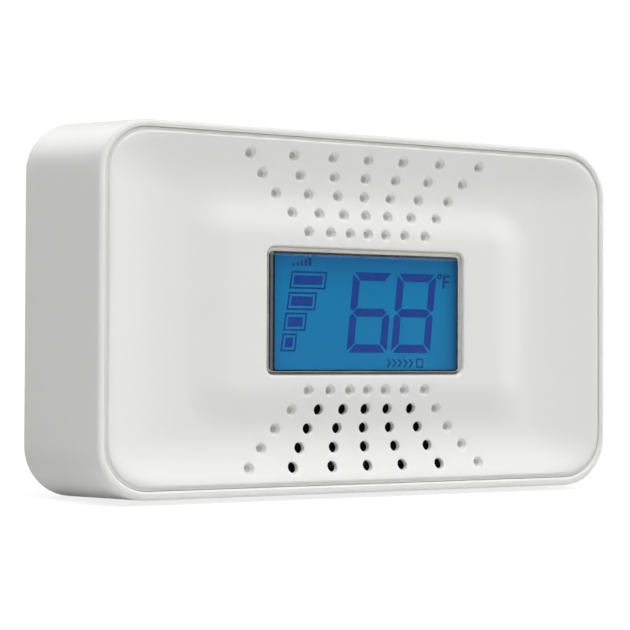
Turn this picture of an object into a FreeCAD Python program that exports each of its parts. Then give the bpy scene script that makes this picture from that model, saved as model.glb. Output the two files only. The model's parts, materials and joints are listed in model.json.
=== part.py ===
import FreeCAD, Part
import math
import os

# A carbon monoxide detector: a wide, shallow, sleeve-shaped white case with a dished front panel,
# a digital display in the middle of the panel, sound and air holes fanned out above and below it,
# a test button in the top wall, and a screwed-on rear cover with two keyholes for wall screws.
#
# Frame: millimetres, +Z up, the front faces -Y, X runs along the width.
# The origin is the centre of the footprint of the whole case, at the height of its lowest edge.
# Most features are placed by (x, d, z): x and z from the centre of the front face, and d the depth
# behind the front edge of the case.  y = d - DEPTH / 2 and z_row = z + REAR_BOTTOM.

os.makedirs("parts", exist_ok=True)
V = FreeCAD.Vector

# ------------------------------------------------------------------ driving dimensions
REAR_HALF_W = 70.2     # half width at the rear, where the case is widest
REAR_TOP = 43.4        # top of the case above the middle of the front face, at the rear
REAR_BOTTOM = 42.6     # bottom of the case below the middle of the front face, at the rear
FRONT_HALF_W = 68.6    # half width at the front edge
FRONT_TOP = 40.95      # top of the front edge above its middle
FRONT_BOTTOM = 41.4    # bottom of the front edge below its middle
DEPTH = 38.0           # front edge to wall plane
REAR_EDGE_R = 1.2      # rounding of the rear edge
CORNER_R = 11.9        # corner radius of the outline
WALL = 2.2             # case wall
MOUTH = (67.15, 39.5, 10.5)      # inside of the front rim: half width, half height, corner radius
RIM_OUT_R, RIM_IN_R = 0.8, 0.6   # roundings of the rim
GROOVE_W = 0.8         # width of the groove between the rim and the face of the front panel
GROOVE_D = 0.75        # depth of that groove, down to the panel's flange
FLANGE_GAP = 0.08      # gap between the flange and the rim
PANEL_T = 2.45         # front panel wall, measured along Y
MOAT_D = 3.75          # depth of the dished moat around the display
PLATEAU_H = 1.92       # height of the display plateau above the moat floor
PANEL_ROLL = 0.45      # softness of the panel's rolled-over edge
PANEL_EDGE_D = 0.12    # the panel's edge lies this far behind the front edge of the rim
HOLE_R = 1.25          # sound and air holes
HOLE_T = 1.45          # length of the open holes' straight walls
DIMPLE = [(1.25, 0.35), (0.60, 1.50), (0.15, 1.76)]      # taper of the blind dimples: radius, depth
HOLE_ROWS = [17.95 + 4.345 * k for k in range(5)]      # row heights above and below centre
HOLE_FAN = [0.0, 0.270, -0.270, 0.564, -0.564, 0.884, -0.884]  # x = z * fan
WINDOW = (53.6, 29.2, 2.0)       # display recess: width, height, corner radius
WINDOW_IN = (51.6, 27.0, 1.0)    # opening through the ledge under the lens
LEDGE_FRONT, LEDGE_REAR = 2.62, 3.90
PCB_FRONT, PCB_T = 9.4, 1.6
PCB_REAR = PCB_FRONT + PCB_T
COVER_T = 2.2
COVER_FACE = DEPTH - 0.2
COVER_IN = COVER_FACE - COVER_T
COVER_HALF = (63.4, 37.05, 7.95)
COVER_SCREW = (57.5, 31.2)
BOARD_SCREW = (50.0, 27.0)
KEYHOLE_X, KEYHOLE_Z = 30.0, 12.0
KEYHOLE_R, KEYSLOT_W, KEYSLOT_UP = 4.25, 4.6, 9.0
BUTTON_HALF = (13.0, 5.75)       # half length and half width of the test button
BUTTON_D = 18.0                  # depth of the button's centre behind the front edge
BUTTON_TRAVEL = 1.0
SWITCH_X, SWITCH_Z, SWITCH_TRAVEL = 42.0, -9.0, 4.0

Y0, Z0 = -DEPTH / 2, REAR_BOTTOM
# The walls flare towards the rear, so that the rounded rear edge just reaches the rear sizes.
FLARE_SIDE, FLARE_TOP, FLARE_BOTTOM = [(rear - front) / (DEPTH - REAR_EDGE_R) for rear, front in
                                       ((REAR_HALF_W, FRONT_HALF_W), (REAR_TOP, FRONT_TOP), (REAR_BOTTOM, FRONT_BOTTOM))]


# ------------------------------------------------------------------ helpers, all in (x, d, z)
def P(x, d, z):
    return V(x, d + Y0, z + Z0)


def box(x0, x1, d0, d1, z0, z1):
    return Part.makeBox(x1 - x0, d1 - d0, z1 - z0, P(x0, d0, z0))


def ycyl(x, z, r, d0, d1):
    return Part.makeCylinder(r, d1 - d0, P(x, d0, z), V(0, 1, 0))


def xcyl(d, z, r, x0, x1):
    return Part.makeCylinder(r, x1 - x0, P(x0, d, z), V(1, 0, 0))


def zcyl(x, d, r, z0, z1):
    return Part.makeCylinder(r, z1 - z0, P(x, d, z0), V(0, 0, 1))


def outline(hw, hh, r, d, cx=0.0, cz=0.0):
    """Rounded rectangle wire in the plane at depth d."""
    k = r * (1 - math.sqrt(0.5))
    edges = []
    c = [(hw, -hh + r, hw, hh - r), (hw - r, hh, -hw + r, hh), (-hw, hh - r, -hw, -hh + r), (-hw + r, -hh, hw - r, -hh)]
    mids = [(hw - k, hh - k), (-hw + k, hh - k), (-hw + k, -hh + k), (hw - k, -hh + k)]
    for i in range(4):
        a = c[i]
        b = c[(i + 1) % 4]
        p0, p1, p2 = P(cx + a[0], d, cz + a[1]), P(cx + a[2], d, cz + a[3]), P(cx + b[0], d, cz + b[1])
        edges.append(Part.makeLine(p0, p1))
        edges.append(Part.Arc(p1, P(cx + mids[i][0], d, cz + mids[i][1]), p2).toShape())
    return Part.Wire(edges)


def rprism(hw, hh, r, d0, d1, cx=0.0, cz=0.0):
    return Part.Face(outline(hw, hh, r, d0, cx, cz)).extrude(V(0, d1 - d0, 0))


def revolve_y(profile, x, z):
    """Revolves a closed profile of (radius, depth) points about the Y line through (x, z)."""
    pts = [P(x + r, d, z) for r, d in profile]
    face = Part.Face(Part.makePolygon(pts + [pts[0]]))
    return face.revolve(P(x, 0, z), V(0, 1, 0), 360)


def union(shapes):
    first = shapes[0]
    return first.fuse(shapes[1:]).removeSplitter() if len(shapes) > 1 else first


def pill(hx, hy, z0, z1):
    """A vertical prism with rounded ends, centred on the test button."""
    return union([box(-hx + hy, hx - hy, BUTTON_D - hy, BUTTON_D + hy, z0, z1),
                  zcyl(-hx + hy, BUTTON_D, hy, z0, z1), zcyl(hx - hy, BUTTON_D, hy, z0, z1)])


def save(name, *solids):
    out = []
    for s in solids:
        out += s.Solids
    for s in out:
        if not s.isValid() or s.Volume <= 0:
            raise SystemExit("bad solid in " + name)
    shape = out[0] if len(out) == 1 else Part.makeCompound(out)
    shape.exportStep("parts/" + name + ".step")
    print(f"{name:28s} solids {len(out):3d}  volume {sum(s.Volume for s in out):10.2f} mm3")
    return shape


# ------------------------------------------------------------------ case sleeve
def flared(inset, d0, d1, r):
    """The flared outside form of the case, moved inwards by inset, from depth d0 to d1."""
    def reach(front, flare, d):
        return front + flare * d - inset * math.hypot(1, flare)
    x0, x1 = [reach(FRONT_HALF_W, FLARE_SIDE, d) for d in (d0, d1)]
    t0, t1 = [reach(FRONT_TOP, FLARE_TOP, d) for d in (d0, d1)]
    b0, b1 = [reach(FRONT_BOTTOM, FLARE_BOTTOM, d) for d in (d0, d1)]
    w = Part.makeWedge(-x0, d0 + Y0, Z0 - b0, Z0 - b1, -x1, x0, d1 + Y0, Z0 + t0, Z0 + t1, x1)
    long_edges = [e for e in w.Edges if abs(e.Vertexes[0].Y - e.Vertexes[1].Y) > 0.9 * (d1 - d0)]
    return w.makeFillet(r, long_edges)


outer = flared(0.0, 0.0, DEPTH, CORNER_R)
rear_loop = [e for e in outer.Edges if all(abs(v.Y + Y0) < 1e-6 for v in e.Vertexes)]
outer_plain = outer
outer = outer.makeFillet(REAR_EDGE_R, rear_loop)
front_loop = [e for e in outer.Edges if all(abs(v.Y - Y0) < 1e-6 for v in e.Vertexes)]
outer = outer.makeFillet(RIM_OUT_R, front_loop)

mouth = rprism(*MOUTH, -1.0, 7.0)
cavity = flared(WALL, 9.0, 33.0, CORNER_R - WALL)
shell = outer.cut([mouth, cavity, rprism(64.0, 36.2, 8.5, 6.9, 9.1), rprism(62.0, 36.0, 7.5, 32.9, COVER_IN + 0.01),
                   rprism(COVER_HALF[0] + 0.25, COVER_HALF[1] + 0.25, COVER_HALF[2] + 0.25, COVER_IN, DEPTH + 1)])
inner_front = [e for e in shell.Edges
               if all(abs(v.Y - Y0) < 1e-6 for v in e.Vertexes)
               and all(abs(v.X) < MOUTH[0] + 0.01 and abs(v.Z - Z0) < MOUTH[1] + 0.01 for v in e.Vertexes)]
shell = shell.makeFillet(RIM_IN_R, inner_front)

posts = []
for sx in (-1, 1):
    for sz in (-1, 1):
        x, z = sx * COVER_SCREW[0], sz * COVER_SCREW[1]
        post = ycyl(x, z, 3.75, 12.5, COVER_IN)
        xa, xb = sorted((x, sx * 69.2))
        za, zb = sorted((z, sz * 42.0))
        post = union([post, box(xa, xb, 12.5, COVER_IN, z - 1.0, z + 1.0), box(x - 1.0, x + 1.0, 12.5, COVER_IN, za, zb)])
        posts.append(post.common(flared(1.0, 5.0, 37.0, CORNER_R - 1.0)))
shell = union([shell] + posts)
cuts = [ycyl(sx * COVER_SCREW[0], sz * COVER_SCREW[1], 1.38, 24.0, 40.0) for sx in (-1, 1) for sz in (-1, 1)]
# the test button's hole, straight down through the flared top wall
cuts.append(pill(BUTTON_HALF[0] + 0.2, BUTTON_HALF[1] + 0.2, 36.0, 46.0))
shell = shell.cut(cuts)
save("housing_shell", shell)


# ------------------------------------------------------------------ front panel
PX, PZ, PR = [v - GROOVE_W for v in MOUTH]
FX, FZ, FR = [v - FLANGE_GAP for v in MOUTH]


def panel_depth(x, z):
    """Depth of the panel's face: a soft moat around a soft rectangular plateau that carries the display."""
    x, z = abs(x), abs(z)
    p, q = max(0.0, x - 48.0) / (PX - 48.0), max(0.0, z - 26.8) / (PZ - 26.8)
    r = min(1.25, (p ** 2.75 + q ** 2.75) ** (1 / 2.75))
    slope = (MOAT_D - PANEL_EDGE_D) * (1 - r ** 1.9)
    # the square root rolls the slope over into a soft convex edge all the way round
    dish = PANEL_EDGE_D + math.hypot(slope, PANEL_ROLL) - PANEL_ROLL
    s = min(1.0, math.hypot(max(0.0, x - 35.0) / 12.5, max(0.0, z - 16.5) / 10.3))
    return dish - PLATEAU_H * (1 - s * s * (3 - 2 * s))


NX, NZ = 86, 52
grid = [[P(-68.0 + 136.0 * i / (NX - 1), panel_depth(-68.0 + 136.0 * i / (NX - 1), -40.5 + 81.0 * j / (NZ - 1)),
           -40.5 + 81.0 * j / (NZ - 1)) for j in range(NZ)] for i in range(NX)]
surface = Part.BSplineSurface()
surface.interpolate(grid)
skin = surface.toShape()


def behind(offset):
    """Everything from the panel's face, moved back by offset, to 14 mm behind it."""
    f = skin.copy()
    f.translate(V(0, offset, 0))
    return f.extrude(V(0, 14, 0))


panel = rprism(PX, PZ, PR, -1.0, 6.95).common(behind(0.0))
# the flange that stands out round the face and closes the groove
flange = rprism(FX, FZ, FR, GROOVE_D, 6.95).cut(rprism(PX - 0.3, PZ - 0.3, PR - 0.3, 0.0, 8.0))
panel = union([panel, flange])
hollow = rprism(PX - 1.6, PZ - 1.6, PR - 1.6, -1.0, 8.0).common(behind(PANEL_T))
panel = panel.cut(hollow)
extras = []
back = behind(1.0)
for sx in (-1, 1):
    for sz in (-1, 1):
        extras.append(ycyl(sx * BOARD_SCREW[0], sz * BOARD_SCREW[1], 3.2, 0.0, PCB_FRONT).common(back))
# snap arms behind the skirt, with noses that catch behind the ledge of the sleeve
for x in (-36.0, 36.0):
    for sz in (-1, 1):
        a, b = sorted((sz * 34.5, sz * 37.4))
        c, e = sorted((sz * 34.5, sz * 36.0))
        f, g = sorted((sz * 35.9, sz * 36.9))
        extras.append(union([box(x - 5, x + 5, 3.6, 6.9, a, b), box(x - 5, x + 5, 5.0, 10.4, c, e),
                             box(x - 5, x + 5, 9.15, 10.4, f, g)]).common(back))
for sx in (-1, 1):
    a, b = sorted((sx * 62.2, sx * 65.3))
    c, e = sorted((sx * 62.2, sx * 63.8))
    f, g = sorted((sx * 63.7, sx * 64.7))
    extras.append(union([box(a, b, 3.6, 6.9, -5, 5), box(c, e, 5.0, 10.4, -5, 5), box(f, g, 9.15, 10.4, -5, 5)]).common(back))
# a shallow frame that locates the insect screen behind the open holes
extras.append(box(-26.2, 26.2, 3.0, 6.9, -38.0, -19.4).cut(box(-25.0, 25.0, 2.0, 8.0, -36.9, -20.6)).common(back))
panel = union([panel] + extras)
tools = [rprism(WINDOW[0] / 2, WINDOW[1] / 2, WINDOW[2], -1.0, LEDGE_FRONT),
         rprism(WINDOW_IN[0] / 2, WINDOW_IN[1] / 2, WINDOW_IN[2], 0.0, 9.0),
         box(-27.3, 27.3, LEDGE_REAR, 9.0, -15.8, 15.8),
         box(-30.5, 30.5, 5.0, 9.0, -19.0, 19.0)]
OPEN, BLIND = [], []
for k, zr in enumerate(HOLE_ROWS):
    for sz in (-1, 1):
        for f in HOLE_FAN:
            x, z = zr * f, sz * zr
            is_open = sz < 0 and k >= 1 and abs(f) < 0.6
            (OPEN if is_open else BLIND).append((x, z))
            dd = panel_depth(x, z)
            if is_open:
                tools.append(ycyl(x, z, HOLE_R, dd - 2.0, 9.0))
            else:
                tools.append(revolve_y([(0, dd - 2.0), (HOLE_R, dd - 2.0)] + [(r, dd + d) for r, d in DIMPLE] + [(0, dd + DIMPLE[-1][1])], x, z))
# behind the open holes the panel is thinned
thin = [P(x, 1.0, z) for x, z in ((-14.0, -20.7), (14.0, -20.7), (23.2, -36.8), (-23.2, -36.8))]
tools.append(Part.Face(Part.makePolygon(thin + [thin[0]])).extrude(V(0, 5.3, 0)).common(behind(HOLE_T)))
for sx in (-1, 1):
    for sz in (-1, 1):
        tools.append(ycyl(sx * BOARD_SCREW[0], sz * BOARD_SCREW[1], 1.27, 5.3, 12.0))
panel = panel.cut(tools)
print("open holes", len(OPEN), "blind holes", len(BLIND), "panel solids", len(panel.Solids))
save("front_fascia", panel)

# ------------------------------------------------------------------ display: lens and liquid-crystal cell
lens = rprism(26.6, 14.4, 1.8, 1.75, 2.50)
lens_front = [e for e in lens.Edges if all(abs(v.Y - (1.75 + Y0)) < 1e-6 for v in e.Vertexes)]
lens = lens.makeChamfer(0.3, lens_front)
save("display_lens", lens)
save("lens_adhesive", rprism(26.4, 14.2, 1.6, 2.50, LEDGE_FRONT).cut(rprism(25.9, 13.6, 1.0, 2.4, 2.7)))
save("lcd_front_polarizer", rprism(25.5, 13.2, 0.5, 2.64, 2.80))
save("lcd_front_glass", rprism(25.6, 13.3, 0.5, 2.80, 3.90))
save("lcd_rear_glass", rprism(27.0, 15.2, 0.4, 3.90, 4.95))
save("lcd_rear_polarizer", rprism(25.0, 12.6, 0.4, 4.95, 5.11))
pins = []
for sz in (-1, 1):
    for i in range(12):
        x = -22.0 + 4.0 * i
        # a clip pin: jaw over the edge of the rear glass, and a leg straight back through the board
        z_in, z_out = sz * 14.2, sz * 15.5
        a, b = sorted((z_in, z_out))
        c, e = sorted((sz * 15.25, z_out))
        f, g = sorted((sz * 14.6, z_out))
        pins.append(union([box(x - 0.35, x + 0.35, 4.96, 5.2, a, b), box(x - 0.35, x + 0.35, 4.96, 5.9, c, e),
                           box(x - 0.2, x + 0.2, 5.1, PCB_REAR + 0.6, c, e)]))
save("lcd_pins", *pins)
frame = rprism(28.5, 14.05, 1.5, 4.97, PCB_FRONT)
frame = frame.cut([rprism(25.75, 12.7, 0.6, 4.0, 8.46)])
lugs = []
for sx in (-1, 1):
    for sz in (-1, 1):
        a, b = sorted((sx * 28.0, sx * 32.0))
        z = sz * 9.5
        lugs.append(box(a, b, 7.6, PCB_FRONT, z - 2.0, z + 2.0))
        lugs.append(ycyl(sx * 30.2, z, 0.95, PCB_FRONT - 0.1, PCB_REAR + 0.5))
# two notches in the left side wall for the backlight lamps
frame = union([frame] + lugs).cut([box(-29.5, -25.5, 5.4, 8.2, z - 1.7, z + 1.7) for z in (-6.0, 6.0)])
save("lcd_frame", frame)
save("backlight_diffuser", rprism(25.6, 12.55, 0.5, 5.12, 5.28))
guide = rprism(25.6, 12.55, 0.5, 5.30, 8.28).cut([box(-26.0, -25.0, 5.0, 9.0, z - 1.2, z + 1.2) for z in (-6.0, 6.0)])
save("backlight_guide", guide)
save("backlight_reflector", rprism(25.6, 12.55, 0.5, 8.30, 8.44))
save("backlight_lamps", *[union([box(-28.2, -26.2, 5.9, 7.7, z - 1.5, z + 1.5), box(-26.2, -25.2, 6.2, 7.4, z - 1.0, z + 1.0)])
                          for z in (-6.0, 6.0)])

# ------------------------------------------------------------------ main circuit board
NOTCH = (-34.0, 0.0, -17.2)
HORN = (-14.0, -20.0, 18.0)
SENSOR = (27.3, -23.8, 9.4)
CELL_Z, CELL_D, CELL_R = 13.5, 21.8, 8.5
board = rprism(58.0, 34.0, 3.0, PCB_FRONT, PCB_REAR)
board_tools = [box(NOTCH[0], NOTCH[1], 9.0, 12.0, -36.0, NOTCH[2])]
for sx in (-1, 1):
    for sz in (-1, 1):
        board_tools.append(ycyl(sx * BOARD_SCREW[0], sz * BOARD_SCREW[1], 1.6, 9.0, 12.0))
        board_tools.append(ycyl(sx * 30.2, sz * 9.5, 1.05, 9.0, 12.0))
for sz in (-1, 1):
    for i in range(12):
        board_tools.append(ycyl(-22.0 + 4.0 * i, sz * 15.37, 0.42, 9.0, 12.0))
HORN_PEGS = [(-27.0, -11.5), (-1.0, -11.5)]
for x, z in HORN_PEGS:
    board_tools.append(ycyl(x, z, 1.1, 9.0, 12.0))
board = board.cut(board_tools)
save("main_circuit_board", board)
save("board_screws", *[union([ycyl(sx * BOARD_SCREW[0], sz * BOARD_SCREW[1], 1.22, 5.6, PCB_REAR),
                              ycyl(sx * BOARD_SCREW[0], sz * BOARD_SCREW[1], 2.7, PCB_REAR, PCB_REAR + 1.7)]).cut(
    [box(sx * BOARD_SCREW[0] - 1.6, sx * BOARD_SCREW[0] + 1.6, PCB_REAR + 0.8, PCB_REAR + 2, sz * BOARD_SCREW[1] - 0.3, sz * BOARD_SCREW[1] + 0.3),
     box(sx * BOARD_SCREW[0] - 0.3, sx * BOARD_SCREW[0] + 0.3, PCB_REAR + 0.8, PCB_REAR + 2, sz * BOARD_SCREW[1] - 1.6, sz * BOARD_SCREW[1] + 1.6)])
    for sx in (-1, 1) for sz in (-1, 1)])


def chip(cx, cz, w, h, t, leads_x=0, leads_z=0, pitch=1.27):
    """A moulded package on the rear of the board, with gull-wing leads on the sides that have them."""
    parts = [box(cx - w / 2, cx + w / 2, PCB_REAR + 0.1, PCB_REAR + 0.1 + t, cz - h / 2, cz + h / 2)]
    for n, horizontal in ((leads_z, True), (leads_x, False)):
        for i in range(n):
            o = (i - (n - 1) / 2) * pitch
            for s in (-1, 1):
                if horizontal:
                    a, b = sorted((cz + s * (h / 2 - 0.2), cz + s * (h / 2 + 1.0)))
                    parts.append(box(cx + o - 0.2, cx + o + 0.2, PCB_REAR, PCB_REAR + 0.5, a, b))
                else:
                    a, b = sorted((cx + s * (w / 2 - 0.2), cx + s * (w / 2 + 1.0)))
                    parts.append(box(a, b, PCB_REAR, PCB_REAR + 0.5, cz + o - 0.2, cz + o + 0.2))
    return union(parts)


save("microcontroller", chip(-48.0, -3.0, 10.0, 10.0, 1.4, 9, 9, 1.0))
save("small_chips", chip(-46.5, -21.0, 4.0, 5.0, 1.5, 0, 3), chip(48.0, 8.0, 5.0, 4.0, 1.5, 0, 3),
     chip(44.5, -30.2, 5.0, 4.0, 1.5, 0, 3))
caps = []
for x, z in ((-39.5, 28.5), (-29.5, 28.5)):
    c = ycyl(x, z, 4.0, PCB_REAR + 0.3, PCB_REAR + 11.8)
    groove = ycyl(x, z, 5.0, PCB_REAR + 1.5, PCB_REAR + 2.3).cut(ycyl(x, z, 3.7, 9.0, 30.0))
    caps.append(union([c.cut(groove), ycyl(x, z, 3.2, PCB_REAR, PCB_REAR + 0.35)]))
save("storage_capacitors", *caps)
coil = revolve_y([(0, PCB_REAR), (5, PCB_REAR), (5, PCB_REAR + 1), (3.2, PCB_REAR + 1), (3.2, PCB_REAR + 6.4), (5, PCB_REAR + 6.4),
                  (5, PCB_REAR + 7.6), (0, PCB_REAR + 7.6)], 40.0, 28.0)
save("booster_core", coil)
save("booster_winding", revolve_y([(3.25, PCB_REAR + 1.05), (4.6, PCB_REAR + 1.05), (4.6, PCB_REAR + 6.35), (3.25, PCB_REAR + 6.35)], 40.0, 28.0))
save("timing_crystal", rprism(5.5, 1.9, 1.85, PCB_REAR, PCB_REAR + 3.5, -48.0, 9.5))
bits = []
for i, (x, z) in enumerate([(-56, 4), (-56, 1), (-56, -2), (-56, -6), (-56, -9), (-52, -13), (-49, -13), (-46, -13), (-43, -13),
                            (-40, -5), (-40, -2), (-40, 1), (-54, 15), (-51, 15), (-48, 15), (-54, -19), (-54, -22), (-40, -19),
                            (-40, -22), (54, 4), (54, 8), (54, 12), (42, 5), (42, 11), (50, -32.3), (38, -32), (38, -28), (52, 16), (48, 16), (44, 16)]):
    w, h, t = ((1.0, 0.62, 0.6), (0.62, 1.0, 0.5))[i % 2]
    bits.append(box(x - w, x + w, PCB_REAR, PCB_REAR + t, z - h, z + h))
save("chip_components", *bits)
bead = union([Part.makeSphere(1.3, P(56.2, 19.0, -14.0)),
              zcyl(56.2, 19.0, 0.2, -14.0, -13.9),
              ycyl(55.6, -14.0, 0.25, PCB_REAR, 18.6), ycyl(56.8, -14.0, 0.25, PCB_REAR, 18.6)])
save("temperature_sensor", bead)

# ------------------------------------------------------------------ horn
hx, hz, hr = HORN
resonator = revolve_y([(3.5, 12.0), (hr, 12.0), (hr, 21.0), (16.4, 21.0), (16.4, 16.0), (14.5, 16.0), (14.5, 13.6), (5.0, 13.6), (5.0, 14.6), (3.5, 14.6)], hx, hz)
resonator = union([resonator] + [ycyl(x, z, 1.0, PCB_FRONT + 0.1, 12.2) for x, z in HORN_PEGS])
resonator = resonator.cut([box(hx - 6.0, hx + 6.0, 19.0, 22.0, hz + 12.0, hz + 20.0)])
save("horn_resonator", resonator)
save("horn_disc", ycyl(hx, hz, 16.2, 16.0, 16.25))
save("horn_ceramic", ycyl(hx, hz, 11.5, 16.25, 16.45))
save("horn_retaining_ring", revolve_y([(12.4, 16.26), (16.3, 16.26), (16.3, 18.4), (12.4, 18.4)], hx, hz).cut(
    [box(hx - 6.0, hx + 6.0, 15.0, 22.0, hz + 9.0, hz + 20.0)]))
contacts = []
for i, x in enumerate((hx - 4.0, hx, hx + 4.0)):
    tip = hz + 7.0 if i == 1 else hz + 13.5
    end = 16.25 if i != 1 else 16.45
    contacts.append(union([box(x - 0.9, x + 0.9, PCB_REAR, PCB_REAR + 0.3, -1.6, 2.2),
                           box(x - 0.9, x + 0.9, PCB_REAR, 20.6, -1.6, -1.3),
                           box(x - 0.9, x + 0.9, 20.3, 20.6, tip, -1.3),
                           box(x - 0.9, x + 0.9, end, 20.6, tip, tip + 0.3)]))
save("horn_contacts", *contacts)

# ------------------------------------------------------------------ gas sensor
sx_, sz_, sr = SENSOR
save("co_sensor_can", revolve_y([(0, PCB_REAR), (sr, PCB_REAR), (sr, PCB_REAR + 12.0), (sr + 0.35, PCB_REAR + 12.3), (sr + 0.35, PCB_REAR + 13.2),
                                 (sr, PCB_REAR + 13.5), (8.0, PCB_REAR + 13.5), (8.0, PCB_REAR + 12.9), (0, PCB_REAR + 12.9)], sx_, sz_))
save("co_sensor_filter", ycyl(sx_, sz_, 6.4, PCB_REAR + 12.9, PCB_REAR + 14.4))
save("co_sensor_cap", revolve_y([(6.5, PCB_REAR + 12.9), (7.9, PCB_REAR + 12.9), (7.9, PCB_REAR + 16.0), (2.2, PCB_REAR + 16.0), (2.2, PCB_REAR + 14.5), (6.5, PCB_REAR + 14.5)], sx_, sz_))

# ------------------------------------------------------------------ insect screen behind the open holes
screen = box(-24.8, 24.8, 6.35, 6.75, -36.7, -20.8)
screen = screen.cut([box(-24.0 + 2.4 * i, -24.0 + 2.4 * i + 1.9, 6.0, 7.0, -35.9 + 2.5 * j, -35.9 + 2.5 * j + 2.0) for i in range(20) for j in range(6)])
save("insect_screen", screen)

# ------------------------------------------------------------------ battery
cells, ends = [], []
for x0 in (-35.5, 1.1):
    cell = Part.Face(Part.makePolygon([P(x0 + a, CELL_D, CELL_Z + r) for a, r in
                                       [(0, 0), (0, 7.6), (0.7, CELL_R), (31.6, CELL_R), (32.3, 8.0), (33.2, 7.6), (33.2, 3.2), (34.4, 3.2), (34.4, 0), (0, 0)]]))
    cells.append(cell.revolve(P(0, CELL_D, CELL_Z), V(1, 0, 0), 360))
save("battery_cells", *cells)
tabs = []
for x in (-35.72, -1.08 + 0.0, 0.86, 35.52):
    tabs.append(box(x, x + 0.2, PCB_REAR, 25.0, CELL_Z - 2.5, CELL_Z + 2.5))
save("battery_tabs", *tabs)
base = box(-35.3, 35.3, 12.2, 13.2, CELL_Z - 9.9, CELL_Z + 9.9).cut(box(-1.3, 1.3, 12.0, 14.0, CELL_Z - 3.2, CELL_Z + 3.2))
cheeks = [box(-37.2, 37.2, 12.2, 20.5, CELL_Z - 9.9, CELL_Z - 8.7), box(-37.2, 37.2, 12.2, 20.5, CELL_Z + 8.7, CELL_Z + 9.9)]
walls = [box(-37.2, -36.0, 12.2, 24.0, CELL_Z - 9.9, CELL_Z + 9.9), box(36.0, 37.2, 12.2, 24.0, CELL_Z - 9.9, CELL_Z + 9.9),
         box(-0.6, 0.6, 13.1, 20.5, CELL_Z - 9.9, CELL_Z + 9.9)]
feet = [ycyl(x, z, 1.5, PCB_REAR, 12.3) for x in (-34.0, 34.0) for z in (CELL_Z - 7.0, CELL_Z + 7.0)]
save("battery_cradle", union([base] + cheeks + walls + feet))

# ------------------------------------------------------------------ test button and its switch
lowered = outer_plain.copy()
lowered.translate(V(0, 0, -0.12))
cap = pill(BUTTON_HALF[0], BUTTON_HALF[1], 37.4, 46.0).common(lowered)
top_edges = [e for e in cap.Edges if all(v.Z - Z0 > 41.0 for v in e.Vertexes)]
cap = cap.makeFillet(0.5, top_edges)
flange = pill(BUTTON_HALF[0] + 2.3, BUTTON_HALF[1] + 1.9, 37.4, 38.9)
hollow = pill(BUTTON_HALF[0] - 1.6, BUTTON_HALF[1] - 1.6, 37.0, 40.0)
stem = zcyl(0.0, 15.0, 2.2, 35.25, 40.5)
button = union([union([cap, flange]).cut(hollow), stem, box(-12.0, 12.0, 14.5, 15.5, 37.6, 40.5)])
save("test_button", button)
sw = box(-4.2, 4.2, PCB_REAR, 19.0, 28.4, 33.0)
save("test_switch_body", sw.cut([zcyl(0.0, 15.0, 1.8, 29.6, 34.0)]))
save("test_switch_plunger", zcyl(0.0, 15.0, 1.72, 31.0, 35.2))

# ------------------------------------------------------------------ rear cover
cover = rprism(*COVER_HALF, COVER_IN, COVER_FACE)
edge = [e for e in cover.Edges if all(abs(v.Y - (COVER_FACE + Y0)) < 1e-6 for v in e.Vertexes)]
cover = cover.makeFillet(0.4, edge)
ribs = [box(-52.0, -50.8, 33.6, COVER_IN, -30.0, 30.0), box(53.5, 54.7, 33.6, COVER_IN, -24.0, 24.0),
        box(-50.9, 53.6, 33.6, COVER_IN, 29.0, 30.2)]
rails = [box(SWITCH_X - 9.0, SWITCH_X + 13.0, 33.2, COVER_IN, SWITCH_Z + 4.8, SWITCH_Z + 6.0),
         box(SWITCH_X - 9.0, SWITCH_X + 13.0, 33.2, COVER_IN, SWITCH_Z - 6.0, SWITCH_Z - 4.8)]
cover = union([cover] + ribs + rails)
tools = []
for sx in (-1, 1):
    for sz in (-1, 1):
        x, z = sx * COVER_SCREW[0], sz * COVER_SCREW[1]
        tools.append(ycyl(x, z, 1.7, 30.0, 40.0))
        tools.append(Part.makeCone(1.7, 3.15, 1.45, P(x, COVER_FACE - 1.45, z), V(0, 1, 0)))
        tools.append(ycyl(x, z, 3.15, COVER_FACE, 40.0))
for x in (-KEYHOLE_X, KEYHOLE_X):
    tools.append(ycyl(x, KEYHOLE_Z, KEYHOLE_R, 30.0, 40.0))
    tools.append(box(x - KEYSLOT_W / 2, x + KEYSLOT_W / 2, 30.0, 40.0, KEYHOLE_Z, KEYHOLE_Z + KEYSLOT_UP))
    tools.append(ycyl(x, KEYHOLE_Z + KEYSLOT_UP, KEYSLOT_W / 2, 30.0, 40.0))
for i in range(9):
    x = -20.0 + 5.0 * i
    tools.append(union([box(x - 1.0, x + 1.0, 30.0, 40.0, -30.0, -19.0), ycyl(x, -30.0, 1.0, 30.0, 40.0), ycyl(x, -19.0, 1.0, 30.0, 40.0)]))
slot = rprism(3.3 + SWITCH_TRAVEL / 2, 2.6, 0.8, 30.0, 40.0, SWITCH_X + SWITCH_TRAVEL / 2, SWITCH_Z)
tools.append(slot)
tools.append(rprism(25.2, 9.2, 1.2, COVER_FACE - 0.15, 40.0, -22.0, -4.0))
cover = cover.cut(tools)
save("rear_cover", cover)
save("rear_plate", rprism(25.0, 9.0, 1.0, COVER_FACE - 0.15, COVER_FACE - 0.01, -22.0, -4.0))
screws = []
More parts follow.
